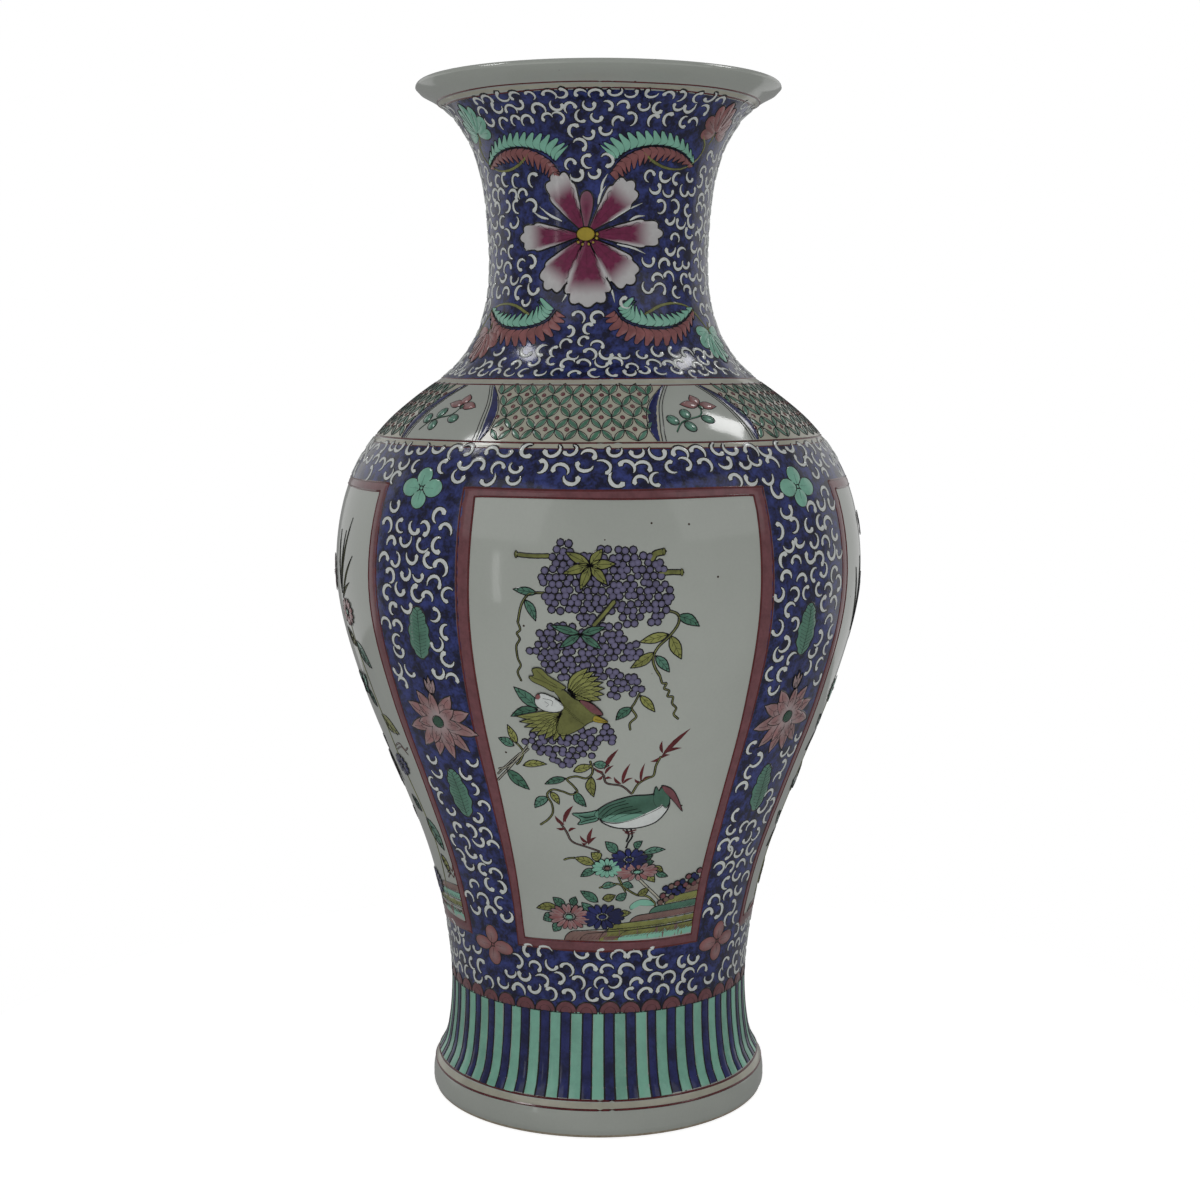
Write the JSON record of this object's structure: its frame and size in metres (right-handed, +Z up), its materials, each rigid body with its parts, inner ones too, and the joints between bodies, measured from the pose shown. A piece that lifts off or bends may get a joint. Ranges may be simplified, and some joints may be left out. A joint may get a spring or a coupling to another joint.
{
  "type": "porcelain vase",
  "caption": "Tall baluster vase with a flared foot, swelling belly, waisted neck and everted mouth, in white porcelain with a blue enamelled ground and reserved panels.",
  "frame": {"origin": "centre of the flat standing face of the foot ring", "axes": "+Z up along the vase's axis; -Y is the front, through the middle of the bird and fruit panel; +X is the viewer's right"},
  "size_m": [0.238, 0.238, 0.457],
  "materials": {
    "white_glaze": "gloss clear glaze over grey-white porcelain",
    "bare_porcelain": "unglazed fired clay, slightly buff",
    "blue_ground": "gloss uneven cobalt-blue enamel",
    "white_enamel": "gloss thick raised white enamel",
    "black_line": "gloss drawn outline enamel",
    "iron_red_line": "gloss iron-red line enamel",
    "cream_enamel": "gloss warm white enamel strip",
    "rose_enamel": "gloss rose enamel",
    "turquoise_enamel": "gloss turquoise enamel",
    "green_enamel": "gloss translucent green enamel",
    "yellow_green_enamel": "gloss yellow-green enamel",
    "magenta_enamel": "gloss magenta enamel fading to white",
    "yellow_enamel": "gloss opaque yellow enamel",
    "violet_enamel": "gloss violet-grey enamel",
    "cobalt_enamel": "gloss solid cobalt enamel",
    "mauve_enamel": "gloss mauve-brown enamel"
  },
  "bodies": {
    "root": {"foot_ring": "white_glaze", "base_floor": "white_glaze", "flared_foot": "white_glaze", "foot_luting_joint": "blue_ground", "lower_body": "blue_ground", "lower_luting_joint": "blue_ground", "lower_belly": "blue_ground", "belly_luting_joint": "blue_ground", "upper_belly": "blue_ground", "shoulder_luting_joint": "blue_ground", "shoulder": "blue_ground", "collar_luting_joint": "blue_ground", "collar": "blue_ground", "neck_luting_joint": "blue_ground", "neck": "blue_ground", "mouth_luting_joint": "blue_ground", "mouth_rim": "white_glaze"}
  },
  "joints": []
}
